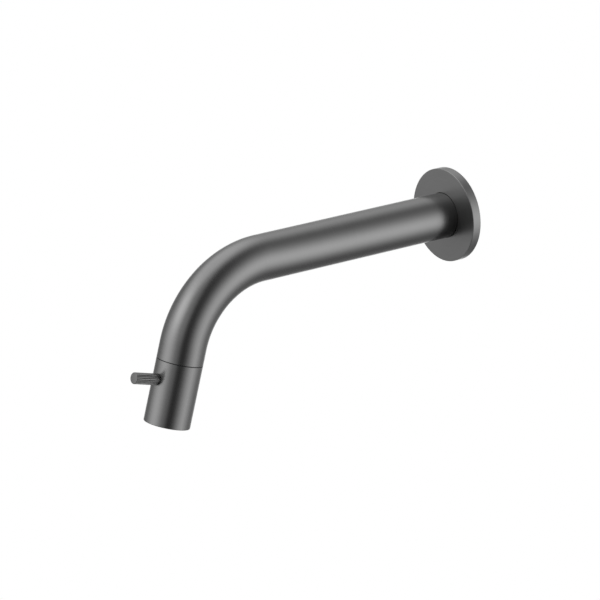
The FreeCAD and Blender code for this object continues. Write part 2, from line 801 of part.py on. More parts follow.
# Rotor. A brass shaft with a head that drives the moving disc and a bore for the water. It is
# sealed in the housing by two rings and in the handle's hub by a third.
groove_width = size.rotor_groove_width
rotor_floor = shaft_bore - size.small_ring_section
mouth_radius = window_outer + size.rotor_mouth_margin
mouth_end = moving_disc_end + size.rotor_mouth_depth
rotor_bore = shaft_radius - size.rotor_wall
lower_groove = flange_end - size.rotor_land_below_seals - groove_width
upper_groove = lower_groove - size.rotor_land_between_seals - groove_width
clip_start = flange_end + size.circlip_end_play
clip_end = clip_start + size.circlip_thickness
clip_inner = shaft_radius - size.circlip_seat_depth
clip_floor = clip_inner - size.running_gap
shank_radius = size.lever_shank_diameter / 2
shank_tip = shaft_radius - size.lever_shank_entry
hub_groove = lever_down + shank_radius + size.rotor_land_below_lever
rotor_end = hub_groove + groove_width + size.rotor_land_at_end
rotor = turned("rotor", at_outlet(), [
    (mouth_radius, moving_disc_end),
    (disc_radius, moving_disc_end),
    (disc_radius, head_end),
    (shaft_radius, head_end),
    (shaft_radius, upper_groove),
    (rotor_floor, upper_groove),
    (rotor_floor, upper_groove + groove_width),
    (shaft_radius, upper_groove + groove_width),
    (shaft_radius, lower_groove),
    (rotor_floor, lower_groove),
    (rotor_floor, lower_groove + groove_width),
    (shaft_radius, lower_groove + groove_width),
    (shaft_radius, clip_start - size.running_gap),
    (clip_floor, clip_start - size.running_gap),
    (clip_floor, clip_end + size.running_gap),
    (shaft_radius, clip_end + size.running_gap),
    (shaft_radius, hub_groove),
    (rotor_floor, hub_groove),
    (rotor_floor, hub_groove + groove_width),
    (shaft_radius, hub_groove + groove_width),
    (shaft_radius, rotor_end - size.rotor_chamfer),
    (shaft_radius - size.rotor_chamfer, rotor_end),
    (rotor_bore, rotor_end),
    (rotor_bore, mouth_end),
    (mouth_radius, mouth_end),
])
lug_outline = new_sketch(rotor, "lug", "XY_Plane", moving_disc_end)
draw_rectangle(lug_outline, lug_inner, lug_outer, -size.lug_width / 2, size.lug_width / 2)
lug = pad(rotor, lug_outline, size.lug_length, "lug_block", backwards=True)
repeated(rotor, lug, 2, "lugs")
shank_seat = new_sketch(rotor, "shank_seat", "XZ_Plane", -shank_tip)
draw_circle(shank_seat, 0, lever_down, shank_radius + size.thread_gap)
pocket(rotor, shank_seat, tube_radius - shank_tip, "shank_seat_cut")

# Thrust washer between the rotor's head and the chamber's shoulder.
turned_ring(
    "rotor_thrust_washer",
    at_outlet(),
    shaft_bore,
    disc_radius,
    head_end,
    shoulder,
)

# Rubber rings on the rotor: two in the housing's bore and one in the handle's hub.
for ring_name, ring_start in (
    ("rotor_oring_upper", upper_groove),
    ("rotor_oring_lower", lower_groove),
    ("hub_oring", hub_groove),
):
    seal_ring(ring_name, at_outlet(ring_start + groove_width / 2), rotor_floor, shaft_bore)

# Circlip. A spring steel ring, open on one side, that keeps the rotor up in the housing.
turned_ring(
    "rotor_circlip",
    at_outlet(),
    clip_inner,
    clip_inner + size.circlip_width,
    clip_start,
    clip_end,
    size.circlip_angle,
)

# Glide ring. A thin plastic washer in the seam between the arm and the handle sleeve.
glide_outer = tube_radius - size.glide_ring_inset
turned_ring(
    "seam_glide_ring",
    at_outlet(),
    glide_outer - size.glide_ring_width,
    glide_outer,
    bush_end,
    bush_end + size.glide_ring_thickness,
)

# Handle sleeve. The arm's diameter goes on over the cartridge: a recess around the housing's
# flange, a hub on the rotor, a passage for the water, and a threaded seat for the aerator. The
# lever's hole goes through its front wall, and the stop pin's hole is in the face of its hub.
recess_radius = flange_radius + size.handle_recess_gap
recess_end = clip_end + size.handle_recess_room
hub_end = rotor_end + size.handle_hub_overlap
aerator_bore = tube_radius - size.handle_outlet_wall
aerator_radius = aerator_bore - size.thread_gap
passage_radius = aerator_radius - size.handle_passage_step
aerator_seat = size.handle_length - size.aerator_seat_depth
sleeve = turned("handle_sleeve", at_outlet(), [
    (recess_radius, seam_half),
    (tube_radius - size.seam_chamfer, seam_half),
    (tube_radius, seam_half + size.seam_chamfer),
    (tube_radius, size.handle_length),
    (aerator_bore, size.handle_length),
    (aerator_bore, aerator_seat),
    (passage_radius, aerator_seat),
    (passage_radius, hub_end),
    (shaft_bore, hub_end),
    (shaft_bore, recess_end),
    (recess_radius, recess_end),
])
rounded(sleeve, tube_radius, size.handle_length, size.outlet_round, "outlet_rounding")
lever_hole = new_sketch(sleeve, "lever_hole", "XZ_Plane")
draw_circle(lever_hole, 0, lever_down, shank_radius + size.tight_gap)
pocket(sleeve, lever_hole, tube_radius, "lever_hole_cut")
lever_radius = size.lever_diameter / 2
lever_foot = tube_radius - size.lever_seat_depth
lever_seat = new_sketch(sleeve, "lever_seat", "XZ_Plane", -lever_foot)
draw_circle(lever_seat, 0, lever_down, lever_radius + size.running_gap)
pocket(sleeve, lever_seat, size.lever_seat_depth, "lever_seat_cut")
stop_radius = size.stop_pin_diameter / 2
stop_hole = new_sketch(sleeve, "stop_hole", "XY_Plane", recess_end)
draw_circle(stop_hole, 0, -stop_pitch, stop_radius + size.tight_gap)
pocket(sleeve, stop_hole, size.stop_pin_depth, "stop_hole_cut", backwards=True)

# Lever pin. A fluted steel grip with a threaded shank: the shank goes through the sleeve into
# the rotor and carries the turn from the hand to the ceramic disc.
lever_reach = tube_radius + size.lever_length
_, lever_y, lever_z = at_outlet(lever_down)
lever = turned("lever_pin", (size.bend_angle, lever_y, lever_z), [
    (0, shank_tip),
    (shank_radius, shank_tip),
    (shank_radius, lever_foot),
    (lever_radius, lever_foot),
    (lever_radius, lever_reach - size.lever_chamfer),
    (lever_radius - size.lever_chamfer, lever_reach),
    (0, lever_reach),
])
flute_outline = new_sketch(lever, "flute", "XY_Plane", lever_reach)
flute_centre = lever_radius - size.flute_depth + size.flute_radius
draw_circle(flute_outline, flute_centre, 0, size.flute_radius)
flute = pocket(lever, flute_outline, lever_reach - lever_foot, "flute_cut")
repeated(lever, flute, size.flute_count, "flutes")

# Stop pin. A steel dowel pressed into the hub, whose free end runs in the housing's groove.
stop_start = flange_end - size.stop_groove_depth + size.stop_pin_end_gap
stop_end = recess_end + size.stop_pin_depth
stop_pin = turned("stop_pin", at_outlet(), [
    (0, stop_start),
    (stop_radius, stop_start),
    (stop_radius, stop_end),
    (0, stop_end),
])
stop_turn, stop_y, stop_z = at_outlet()
put(stop_pin, (
    stop_turn,
    stop_y + stop_pitch * sine(size.bend_angle),
    stop_z - stop_pitch * cosine(size.bend_angle),
))

# Aerator. A washer, a brass cage screwed up against it, and inside the cage the core with its
# jets, a wire screen and the grid that the water leaves through.
cage_start = aerator_seat + size.aerator_washer_thickness
cage_end = size.handle_length - size.aerator_recess
cage_bore = aerator_radius - size.aerator_wall
insert_radius = cage_bore - size.running_gap
lip_start = cage_end - size.aerator_lip_thickness
turned_ring(
    "aerator_washer",
    at_outlet(),
    passage_radius,
    aerator_radius,
    aerator_seat,
    cage_start,
)
cage = turned("aerator_housing", at_outlet(), [
    (cage_bore, cage_start),
    (aerator_radius, cage_start),
    (aerator_radius, cage_end),
    (cage_bore - size.aerator_lip, cage_end),
    (cage_bore - size.aerator_lip, lip_start),
    (cage_bore, lip_start),
])
key_slot = new_sketch(cage, "key_slot", "XY_Plane", cage_end)
draw_rectangle(
    key_slot,
    cage_bore - size.aerator_lip * 2,
    size.tube_diameter,
    -size.aerator_key_width / 2,
    size.aerator_key_width / 2,
)
key_cut = pocket(cage, key_slot, size.aerator_key_depth, "key_slot_cut")
repeated(cage, key_cut, 4, "key_slots")

core_end = cage_start + size.core_thickness
dish_radius = insert_radius - size.core_rim
dish_end = cage_start + size.core_dish_depth
core = turned("aerator_core", at_outlet(), [
    (0, dish_end),
    (dish_radius, dish_end),
    (dish_radius, cage_start),
    (insert_radius, cage_start),
    (insert_radius, core_end),
    (0, core_end),
])
jet_outline = new_sketch(core, "jet", "XY_Plane", core_end)
draw_circle(jet_outline, insert_radius - size.core_jet_inset, 0, size.core_jet_diameter / 2)
jet = pocket(core, jet_outline, size.core_thickness, "jet_cut")
repeated(core, jet, size.core_jet_count, "jets")

screen_end = core_end + size.screen_thickness
screen = turned("aerator_screen", at_outlet(), [
    (0, core_end),
    (insert_radius, core_end),
    (insert_radius, screen_end),
    (0, screen_end),
])
drilled_rings(screen, screen_end, size.screen_thickness, size.screen_hole, size.screen_pitch, 5)

grid_start = lip_start - size.grid_thickness
grid = turned("aerator_outlet_grid", at_outlet(), [
    (0, grid_start),
    (insert_radius, grid_start),
    (insert_radius, lip_start),
    (0, lip_start),
])
drilled_rings(grid, lip_start, size.grid_thickness, size.grid_hole, size.grid_pitch, 4)

document.recompute()
for item in document.Objects:
    if "Invalid" in item.State or "Error" in item.State:
        raise RuntimeError(f"{item.Label} failed: {item.State}")
pieces = [item for item in document.Objects if item.TypeId in ("PartDesign::Body", "Part::Torus")]
for piece in pieces:
    if piece.Shape.isNull() or not piece.Shape.isValid():
        raise RuntimeError(f"{piece.Label} has no valid shape")
os.makedirs("parts", exist_ok=True)
for piece in pieces:
    piece.Shape.exportStep(f"parts/{piece.Label}.step")
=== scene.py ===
import math

import bmesh
import bpy
import numpy as np
from mathutils import Matrix


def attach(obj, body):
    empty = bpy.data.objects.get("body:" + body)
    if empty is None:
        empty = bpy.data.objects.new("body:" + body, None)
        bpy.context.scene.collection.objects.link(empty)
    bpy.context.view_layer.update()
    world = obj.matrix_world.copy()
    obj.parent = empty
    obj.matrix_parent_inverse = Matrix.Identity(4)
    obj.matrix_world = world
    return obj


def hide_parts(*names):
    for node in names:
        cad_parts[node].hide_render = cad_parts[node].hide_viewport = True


# A wall-mounted tap for cold water: a round rosette, a bent steel arm, a turning sleeve with a
# fluted pin, and the brass, rubber and ceramic pieces inside. Sizes are typed in millimetres and
# go into the meshes in metres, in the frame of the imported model: +Z up, the wall at Y = 0.
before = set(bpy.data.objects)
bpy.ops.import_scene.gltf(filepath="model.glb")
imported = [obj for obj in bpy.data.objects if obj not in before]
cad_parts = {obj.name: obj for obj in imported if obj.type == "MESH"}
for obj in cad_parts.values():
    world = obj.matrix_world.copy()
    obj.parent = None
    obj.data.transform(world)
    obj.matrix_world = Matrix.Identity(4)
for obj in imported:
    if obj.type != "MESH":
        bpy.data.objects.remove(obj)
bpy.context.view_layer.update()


# Inlet nipple. Turned from brass bar, with a cut pipe thread behind the wall face, a relief, a
# collar, a spigot with grooves for the grub screw and two seals, and a hexagon broached into its
# front end. Bare brass is yellow and bright, with fine rings.

# A metre in millimetres.
METRE = 1000
# Points of an outline count as one when they are nearer than the first of these, in millimetres,
# and corners of a mesh when they are nearer than the second, in metres.
SAME_POINT = 1e-6
MERGE_DISTANCE = 1e-7
# The sockets of a Mix node share their names, so they are told apart by number.
FACTOR, FLOAT_A, FLOAT_B, COLOUR_A, COLOUR_B = 0, 2, 3, 6, 7
MIXED_FLOAT, MIXED_COLOUR = 0, 2


def linear_colour(code):
    """An sRGB hex colour in linear light: c / 12.92 for the darkest channels, and otherwise
    ((c + 0.055) / 1.055) to the power 2.4."""
    channels = np.array([int(code[start:start + 2], 16) for start in (1, 3, 5)]) / 255
    linear = np.where(channels <= 0.04045, channels / 12.92, ((channels + 0.055) / 1.055) ** 2.4)
    return (*linear, 1.0)


def add_node(tree, kind, settings=None, links=None):
    """Adds one shader node. A setting is an attribute of the node or else the value of an input,
    and a link feeds an input, by name or number, from another node's output."""
    node = tree.nodes.new(kind)
    for name, value in (settings or {}).items():
        if isinstance(name, str) and hasattr(node, name):
            setattr(node, name, value)
        else:
            node.inputs[name].default_value = value
    for name, output in (links or {}).items():
        tree.links.new(output, node.inputs[name])
    return node


def eased(corners, cuts, steps=5):
    """A closed outline with eased corners. Each corner P becomes the curve
    (1 - t)^2 A + 2 t (1 - t) P + t^2 B, where A and B lie on its two sides, one cut away. A corner
    with no cut stays one point."""
    corners = np.array(corners, float)
    cuts = np.broadcast_to(cuts, len(corners)).astype(float)[:, None]
    before = np.roll(corners, 1, axis=0) - corners
    after = np.roll(corners, -1, axis=0) - corners
    start = corners + before / np.linalg.norm(before, axis=1, keepdims=True) * cuts
    end = corners + after / np.linalg.norm(after, axis=1, keepdims=True) * cuts
    t = np.linspace(0, 1, steps)[:, None, None]
    curve = (1 - t) ** 2 * start + 2 * t * (1 - t) * corners + t ** 2 * end
    points = curve.transpose(1, 0, 2).reshape(-1, 2)
    return points[np.linalg.norm(points - np.roll(points, 1, axis=0), axis=1) > SAME_POINT]


def groove(radius, floor, start, end):
    """The four corners of a groove in an outline: at the surface's radius, on the groove's floor
    and back, from its start to its end."""
    return [(radius, start), (floor, start), (floor, end), (radius, end)]


def turned(radius, height, columns):
    """Points of a turned piece: x = r cos a, y = r sin a, z = height, with one row for each point
    of the outline and one column for each angle a. The radius may differ from column to column."""
    angle = np.linspace(0, 2 * math.pi, columns, endpoint=False)
    radius = np.reshape(radius, (len(height), -1))
    height = np.reshape(height, (-1, 1)) + 0 * angle
    return np.stack([radius * np.cos(angle), radius * np.sin(angle), height], axis=-1)


def placed(points, tilt, along=0.0, up=0.0):
    """Turns points about X by tilt degrees, y' = y cos t - z sin t and z' = y sin t + z cos t, then
    moves them in the plane X = 0."""
    cosine, sine = math.cos(math.radians(tilt)), math.sin(math.radians(tilt))
    x, y, z = np.moveaxis(points, -1, 0)
    return np.stack([x, y * cosine - z * sine + along, y * sine + z * cosine + up], axis=-1)


def new_surface(name, points, girth=1.0, closed=True):
    """A mesh from rows of points in millimetres. Columns run round the piece and close; rows close
    when the outline does. The UV map holds metres: U is the share of a turn times the girth, and V
    the length along the outline. Doubled points are merged, then all faces turned outwards."""
    rows, columns, _ = points.shape
    row = np.arange(rows if closed else rows - 1)[:, None]
    column = np.arange(columns)[None]
    low, high = row * columns, (row + 1) % rows * columns
    right = (column + 1) % columns
    faces = np.stack([low + column, low + right, high + right, high + column], axis=-1)
    step = np.linalg.norm(np.diff(points[:, 0], axis=0, append=points[:1, 0]), axis=1)
    v = np.concatenate([[0], np.cumsum(step)]) / METRE
    u = np.arange(columns + 1) / columns * girth / METRE
    left_u, right_u = u[column] + 0 * row, u[column + 1] + 0 * row
    low_v, high_v = v[row] + 0 * column, v[row + 1] + 0 * column
    corner_u = np.stack([left_u, right_u, right_u, left_u], axis=-1)
    corner_v = np.stack([low_v, low_v, high_v, high_v], axis=-1)
    mesh = bpy.data.meshes.new(name)
    mesh.from_pydata(points.reshape(-1, 3) / METRE, [], faces.reshape(-1, 4))
    surface_map = mesh.uv_layers.new(name="surface")
    surface_map.data.foreach_set("uv", np.stack([corner_u, corner_v], axis=-1).ravel())
    work = bmesh.new()
    work.from_mesh(mesh)
    bmesh.ops.remove_doubles(work, verts=work.verts, dist=MERGE_DISTANCE)
    bmesh.ops.recalc_face_normals(work, faces=work.faces)
    work.to_mesh(mesh)
    work.free()
    mesh.shade_smooth()
    piece = bpy.data.objects.new(name, mesh)
    bpy.context.scene.collection.objects.link(piece)
    return piece


def even_shading(piece):
    """Lets the large faces set the shading at the eased edges, so flats stay flat."""
    modifier = piece.modifiers.new("even_shading", "WEIGHTED_NORMAL")
    modifier.mode = "FACE_AREA"
    modifier.weight = 100
    modifier.keep_sharp = True


def blank_material(name):
    """A new material with an empty node tree."""
    material = bpy.data.materials.new(name)
    material.use_nodes = True
    material.node_tree.nodes.clear()
    return material, material.node_tree


def axis_places(tree, place, tilt, along=0.0, up=0.0):
    """Where a point lies about a turning axis: its distance from the axis and its height along
    it, as two outputs. The axis is given as for placed()."""
    axis = add_node(tree, "ShaderNodeMapping", {
        "vector_type": "TEXTURE",
        "Location": (0, along / METRE, up / METRE),
        "Rotation": (math.radians(tilt), 0, 0),
    }, {"Vector": place.outputs["Object"]})
    parts = add_node(tree, "ShaderNodeSeparateXYZ", links={"Vector": axis.outputs["Vector"]})
    flat = add_node(tree, "ShaderNodeCombineXYZ", links={
        "X": parts.outputs["X"],
        "Y": parts.outputs["Y"],
    })
    radius = add_node(tree, "ShaderNodeVectorMath", {"operation": "LENGTH"},
                      {0: flat.outputs["Vector"]})
    return radius.outputs["Value"], parts.outputs["Z"]


def add_body(tree, settings, tint, gloss, skin):
    """Ends a material with its body and its output. The tint, the gloss and the skin are each two
    values and the pattern, from 0 to 1, that works on them. The pattern mixes the tint from dark to
    light, carries the roughness from its middle less the range to its middle plus the range, and
    raises the skin by the relief, in millimetres, of which the bumps' strength is a share."""
    dark, light, tint_pattern = tint
    roughness, gloss_range, gloss_pattern = gloss
    relief, strength, skin_pattern = skin
    colour = add_node(tree, "ShaderNodeMix", {
        "data_type": "RGBA",
        COLOUR_A: linear_colour(dark),
        COLOUR_B: linear_colour(light),
    }, {FACTOR: tint_pattern})
    polish = add_node(tree, "ShaderNodeMapRange", {
        "To Min": roughness - gloss_range,
        "To Max": roughness + gloss_range,
    }, {"Value": gloss_pattern})
    bumps = add_node(tree, "ShaderNodeBump", {"Strength": strength, "Distance": relief / METRE},
                     {"Height": skin_pattern})
    body = add_node(tree, "ShaderNodeBsdfPrincipled", settings, {
        "Base Color": colour.outputs[MIXED_COLOUR],
        "Roughness": polish.outputs["Result"],
        "Normal": bumps.outputs["Normal"],
    })
    add_node(tree, "ShaderNodeOutputMaterial", links={"Surface": body.outputs["BSDF"]})


# Lathe-turned metal has rings around its axis, one for each turn of the work: 0.1 mm apart in the
# real piece, drawn at 0.35 mm so that they show. Handling leaves faint stains.
TURNED_RINGS = 0.35
TURNED_GLOSS_RANGE = 0.06
TURNED_RELIEF = 0.008
TURNED_BUMPS = 0.5
STAIN_SIZE = 6


def machined_metal(name, light, dark, roughness, **axis):
    """Metal with turning rings. The pattern is noise over the distance from the turning axis and
    the place along it, so that it makes rings on the sides and on the ends alike."""
    material, tree = blank_material(name)
    place = add_node(tree, "ShaderNodeTexCoord")
    radius, height = axis_places(tree, place, **axis)
    section = add_node(tree, "ShaderNodeCombineXYZ", links={"X": radius, "Y": height})
    rings = add_node(tree, "ShaderNodeTexNoise", {"Scale": METRE / TURNED_RINGS, "Detail": 2.0},
                     {"Vector": section.outputs["Vector"]})
    stains = add_node(tree, "ShaderNodeTexNoise", {"Scale": METRE / STAIN_SIZE, "Detail": 3.0},
                      {"Vector": place.outputs["Object"]})
    add_body(tree, {"Metallic": 1.0},
             tint=(dark, light, stains.outputs["Fac"]),
             gloss=(roughness, TURNED_GLOSS_RANGE, rings.outputs["Fac"]),
             skin=(TURNED_RELIEF, TURNED_BUMPS, rings.outputs["Fac"]))
    return material


def dress(piece, material):
    """Gives a piece one material in all its slots."""
    if not piece.data.materials:
        piece.data.materials.append(material)
    for slot in piece.material_slots:
        slot.material = material


def dress_nodes(material, *names):
    """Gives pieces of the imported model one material."""
    for name in names:
        dress(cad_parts[name], material)


WALL_TILT = 90
BRASS = {"light": "#c9a869", "dark": "#b48f4f", "roughness": 0.26}
brass_on_arm = machined_metal("turned_brass_inlet", **BRASS, tilt=WALL_TILT)

INLET_END = -10.0
BORE_RADIUS = 4.5
STRAINER_SEAT = 6.45
STRAINER_THICKNESS = 0.6
THREAD_RADIUS = 10.4775
THREAD_PITCH = 25.4 / 14
THREAD_DEPTH = 1.162
THREAD_START = -8.8
THREAD_END = -0.8
ROWS_PER_THREAD = 14
RELIEF_DEPTH = 1.2
COLLAR_SETBACK = 0.3
COLLAR_THICKNESS = 0.8
ARM_START = 1.0
SPIGOT_RADIUS = 8.5
SPIGOT_END = 24.0
SCREW_PLACE = 12.0
SCREW_GROOVE_FLOOR = 7.6
SCREW_GROOVE_WIDTH = 3.6
SEAL_GROOVE_FLOOR = 7.13
SEAL_GROOVE_WIDTH = 2.2
SEAL_GROOVE_LAND = 1.2
KEY_DEPTH = 8.0
KEY_HALF_FLATS = 5.0
KEY_SIDE = math.radians(60)
NIPPLE_EASE = 0.12
NIPPLE_COLUMNS = 144
relief_radius = THREAD_RADIUS - RELIEF_DEPTH
collar_radius = THREAD_RADIUS - COLLAR_SETBACK
collar_start = ARM_START - COLLAR_THICKNESS
key_corner = KEY_HALF_FLATS / math.cos(KEY_SIDE / 2)
mouth_corners = [
    (BORE_RADIUS, INLET_END + STRAINER_THICKNESS), (STRAINER_SEAT, INLET_END + STRAINER_THICKNESS),
    (STRAINER_SEAT, INLET_END), (relief_radius, INLET_END),
]
thread_rows = int((THREAD_END - THREAD_START) / THREAD_PITCH * ROWS_PER_THREAD)
thread_places = np.linspace(THREAD_START, THREAD_END, thread_rows)
thread_corners = [(THREAD_RADIUS, place) for place in thread_places]
spigot_corners = [
    (relief_radius, THREAD_END), (relief_radius, collar_start), (collar_radius, collar_start),
    (collar_radius, ARM_START), (SPIGOT_RADIUS, ARM_START),
]
groove_start = SCREW_PLACE - SCREW_GROOVE_WIDTH / 2
groove_end = SCREW_PLACE + SCREW_GROOVE_WIDTH / 2
spigot_corners += groove(SPIGOT_RADIUS, SCREW_GROOVE_FLOOR, groove_start, groove_end)
for grooves_to_end in (2, 1):
    groove_start = SPIGOT_END - grooves_to_end * (SEAL_GROOVE_WIDTH + SEAL_GROOVE_LAND)
    groove_end = groove_start + SEAL_GROOVE_WIDTH
    spigot_corners += groove(SPIGOT_RADIUS, SEAL_GROOVE_FLOOR, groove_start, groove_end)
spigot_corners += [
    (SPIGOT_RADIUS, SPIGOT_END), (key_corner, SPIGOT_END), (key_corner, SPIGOT_END - KEY_DEPTH),
    (BORE_RADIUS, SPIGOT_END - KEY_DEPTH),
]
nipple_corners = mouth_corners + thread_corners + spigot_corners
nipple_cuts = np.full(len(nipple_corners), NIPPLE_EASE)
nipple_cuts[len(mouth_corners):len(mouth_corners) + thread_rows] = 0
nipple_outline = eased(nipple_corners, nipple_cuts)
nipple_angle = np.linspace(0, 2 * math.pi, NIPPLE_COLUMNS, endpoint=False)
nipple_radius, nipple_height = nipple_outline[:, :1], nipple_outline[:, 1:]
# The thread is a cosine of the distance along the axis less one pitch per turn, and the key's
# radius is half its flats over the cosine of the angle from the middle of the nearest flat.
thread_phase = nipple_height / THREAD_PITCH - nipple_angle / (2 * math.pi)
thread_radius = THREAD_RADIUS - THREAD_DEPTH * (1 - np.cos(2 * math.pi * thread_phase)) / 2
key_radius = KEY_HALF_FLATS / np.cos(nipple_angle % KEY_SIDE - KEY_SIDE / 2)
on_thread = (nipple_height <= THREAD_END) & (nipple_radius > relief_radius)
in_key = nipple_radius <= key_corner + NIPPLE_EASE
nipple_radius = np.where(on_thread, np.minimum(nipple_radius, thread_radius), nipple_radius)
nipple_radius = np.where(in_key, np.minimum(nipple_radius, key_radius), nipple_radius)
nipple_points = placed(turned(nipple_radius, nipple_height[:, 0], NIPPLE_COLUMNS), WALL_TILT)
nipple = new_surface("threaded_nipple", nipple_points, 2 * math.pi * THREAD_RADIUS)
even_shading(nipple)
dress(nipple, brass_on_arm)
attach(nipple, "spout")
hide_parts("inlet_nipple")


# Inlet strainer and grub screw. The strainer is punched from stainless sheet and dropped into the
# nipple's mouth; the screw is turned stainless bar and goes in from below the arm. Bare stainless
# is a light grey with hardly any tint.
STAINLESS = {"light": "#c3c2be", "dark": "#aeadaa", "roughness": 0.24}
steel_on_arm = machined_metal("turned_stainless_inlet", **STAINLESS, tilt=WALL_TILT)
dress_nodes(steel_on_arm, "inlet_strainer", "arm_grub_screw")


# Seal rings of the spigot. Moulded black rubber: dull, slightly uneven in gloss, with the bloom of
# a compound that was greased on assembly.
PATCH_GRAINS = 12
MOULDED_GLOSS_RANGE = 0.08
MOULDED_BUMPS = 0.6


def moulded(name, light, dark, roughness, grain, relief, ior):
    """A moulded or pressed material. Its skin is noise as wide as the grain and as high as the
    relief, in millimetres. Its tint and gloss follow noise twelve grains wide."""
    material, tree = blank_material(name)
    place = add_node(tree, "ShaderNodeTexCoord")
    patches = add_node(tree, "ShaderNodeTexNoise",
                       {"Scale": METRE / (grain * PATCH_GRAINS), "Detail": 3.0},
                       {"Vector": place.outputs["Object"]})
    skin = add_node(tree, "ShaderNodeTexNoise", {"Scale": METRE / grain, "Detail": 2.0},
                    {"Vector": place.outputs["Object"]})
    add_body(tree, {"IOR": ior},
             tint=(dark, light, patches.outputs["Fac"]),
             gloss=(roughness, MOULDED_GLOSS_RANGE, patches.outputs["Fac"]),
             skin=(relief, MOULDED_BUMPS, skin.outputs["Fac"]))
    return material


rubber = moulded("moulded_epdm_rubber", "#232323", "#151515",
                 roughness=0.56, grain=0.3, relief=0.01, ior=1.52)
dress_nodes(rubber, "nipple_oring_rear", "nipple_oring_front")


# Inlet socket. A brass bush brazed inside the arm's wall end and tapped for the grub screw. It
# slides over the nipple's spigot, and the two seals bear on its bore.
dress_nodes(brass_on_arm, "inlet_socket")


# Spout arm. Stainless tube, drawn, bent by 75 degrees on a mandrel, ground with a fine belt and
# coated dark grey in vacuum. Light runs along it in long soft bands.
SATIN_GLOSS_RANGE = 0.03
SATIN_RELIEF = 0.006
SATIN_BUMPS = 0.3
CLOUD_SIZE = 25
CLOUD_SHARE = 0.35


def satin_gunmetal(name, light, dark, roughness, line_size, metallic=1.0):
    """The coating keeps the ground surface below it, whose lines are noise as long in U and in V
    as the line size says, in millimetres. The real lines are 0.05 mm wide, and are drawn wider so
    that they show. Tint and gloss also drift in wide clouds. Where the coating is less dense, it
    scatters a little light, and its metallic value is below 1."""
    material, tree = blank_material(name)
    surface = add_node(tree, "ShaderNodeUVMap", {"uv_map": "surface"})
    stretched = add_node(tree, "ShaderNodeMapping", {
        "Scale": (METRE / line_size[0], METRE / line_size[1], 1),
    }, {"Vector": surface.outputs["UV"]})
    streaks = add_node(tree, "ShaderNodeTexNoise", {"Scale": 1.0, "Detail": 3.0},
                       {"Vector": stretched.outputs["Vector"]})
    # Noise stays near its middle, so the part from 0.3 to 0.7 is drawn out to the whole range.
    lines = add_node(tree, "ShaderNodeMapRange", {"label": "lines", "From Min": 0.3, "From Max": 0.7},
                     {"Value": streaks.outputs["Fac"]})
    place = add_node(tree, "ShaderNodeTexCoord")
    clouds = add_node(tree, "ShaderNodeTexNoise", {"Scale": METRE / CLOUD_SIZE, "Detail": 2.0},
                      {"Vector": place.outputs["Object"]})
    both = add_node(tree, "ShaderNodeMix", {"data_type": "FLOAT", FACTOR: CLOUD_SHARE}, {
        FLOAT_A: lines.outputs["Result"],
        FLOAT_B: clouds.outputs["Fac"],
    })
    add_body(tree, {"Metallic": metallic},
             tint=(dark, light, both.outputs[MIXED_FLOAT]),
             gloss=(roughness, SATIN_GLOSS_RANGE, both.outputs[MIXED_FLOAT]),
             skin=(SATIN_RELIEF, SATIN_BUMPS, lines.outputs["Result"]))
    return material


TUBE_RADIUS = 12.15
TUBE_INSIDE = 10.5
ARM_STRAIGHT = 127.6
BEND_RADIUS = 50.0
BEND_DEGREES = 75
BEND_ANGLE = math.radians(BEND_DEGREES)
AFTER_BEND = 8.5
SEAM_HALF = 0.2
ARM_EASE = 0.12
ARM_COLUMNS = 160
STRAIGHT_ROWS = 12
BEND_ROWS = 76
bend_end = ARM_STRAIGHT + BEND_RADIUS * BEND_ANGLE
seam_run = bend_end + AFTER_BEND


def bent(points):
    """Carries points along the arm's path. The height is the length run along it: straight out
    from the wall, then round the bend by that length over the bend's radius, then straight."""
    x, y, run = np.moveaxis(points, -1, 0)
    turn = np.clip((run - ARM_STRAIGHT) / BEND_RADIUS, 0, BEND_ANGLE)
    on_path = BEND_RADIUS + y
    rest = np.minimum(run, ARM_STRAIGHT)
    tail = np.maximum(run - bend_end, 0)
    out = rest + on_path * np.sin(turn) + tail * np.cos(turn)
    up = on_path * np.cos(turn) - BEND_RADIUS - tail * np.sin(turn)
    return np.stack([x, -out, up], axis=-1)


arm_runs = np.concatenate([
    np.linspace(ARM_START, ARM_STRAIGHT, STRAIGHT_ROWS),
    np.linspace(ARM_STRAIGHT, bend_end, BEND_ROWS)[1:],
    [seam_run - SEAM_HALF],
])
arm_corners = [(TUBE_RADIUS, run) for run in arm_runs]
arm_corners += [(TUBE_INSIDE, run) for run in arm_runs[::-1]]
arm_cuts = np.zeros(len(arm_corners))
arm_cuts[[0, len(arm_runs) - 1, len(arm_runs), -1]] = ARM_EASE
arm_outline = eased(arm_corners, arm_cuts)
arm_points = bent(turned(*arm_outline.T, ARM_COLUMNS))
arm = new_surface("spout_arm_tube", arm_points, 2 * math.pi * TUBE_RADIUS)

# The hole for the grub screw, and what the bored pieces share: edges sharper than the rim's angle
# stay hard, and a corner is shaded with the round when it lies on it within the slack and the
# cosine between its face's direction and straight out is above the facing.
SCREW_HOLE_RADIUS = 2.55
SCREW_HOLE_START = 9
SCREW_HOLE_COLUMNS = 48
CUTTER_END = 14
RIM_ANGLE = math.radians(30)
ROUND_SLACK = 0.005
ROUND_FACING = 0.9995


def drill(name, steps, columns, girth=1.0, off_axis=0.0, **axis):
    """A closed cutter. Each step is a radius and the two heights between which it cuts, and the
    outline goes out from the axis, along the steps and back to it. Before the cutter is placed, it
    is moved off its axis by the distance given, towards -Y."""
    corners = [(radius, height) for radius, start, end in steps for height in (start, end)]
    outline = np.array([(0, steps[0][1]), *corners, (0, steps[-1][2])])
    points = turned(*outline.T, columns) - (0, off_axis, 0)
    return new_surface(name, placed(points, **axis), girth, closed=False)


